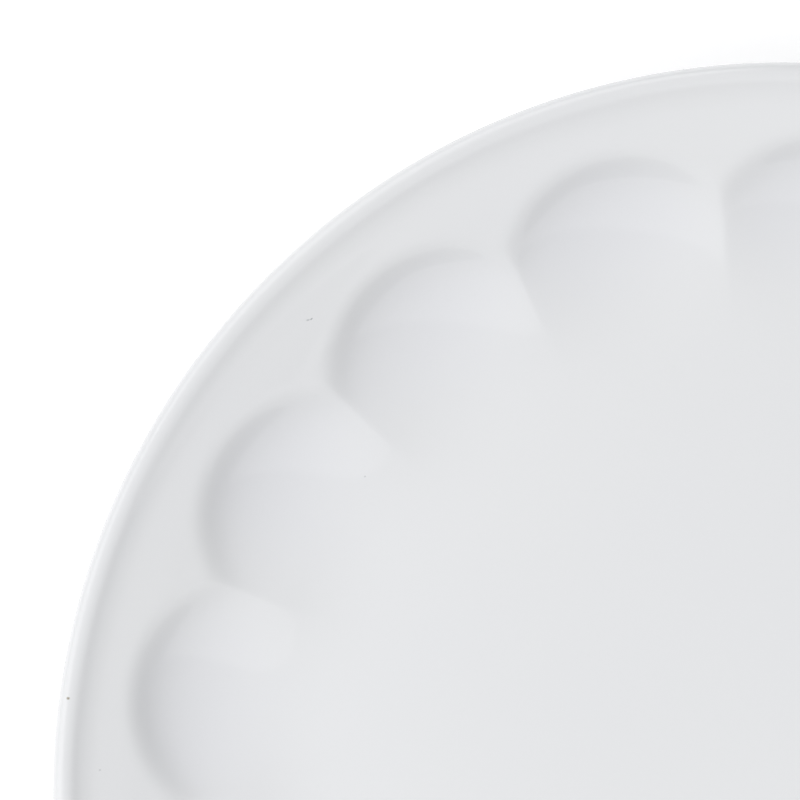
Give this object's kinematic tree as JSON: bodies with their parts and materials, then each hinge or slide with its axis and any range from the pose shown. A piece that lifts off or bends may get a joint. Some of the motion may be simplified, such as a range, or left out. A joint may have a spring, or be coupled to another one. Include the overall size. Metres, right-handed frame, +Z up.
{
  "type": "mixing palette",
  "caption": "Round glazed porcelain mixing palette: scalloped wells around a broad domed mixing floor, sloping flange, rolled rim and foot ring.",
  "frame": {"origin": "centre of the foot ring's bearing plane, on the palette's axis", "axes": "+Z up out of the mixing floor; +X through the middle of one well; the wells repeat evenly round +Z"},
  "size_m": [0.3, 0.3, 0.0167],
  "materials": {
    "fired_porcelain": "matt, fine grained, wiped clean of glaze",
    "clear_glaze": "high gloss clear glaze over white porcelain"
  },
  "bodies": {
    "root": {"porcelain_body": "fired_porcelain", "glaze_coat": "clear_glaze", "foot_well_glaze": "clear_glaze"}
  },
  "joints": []
}
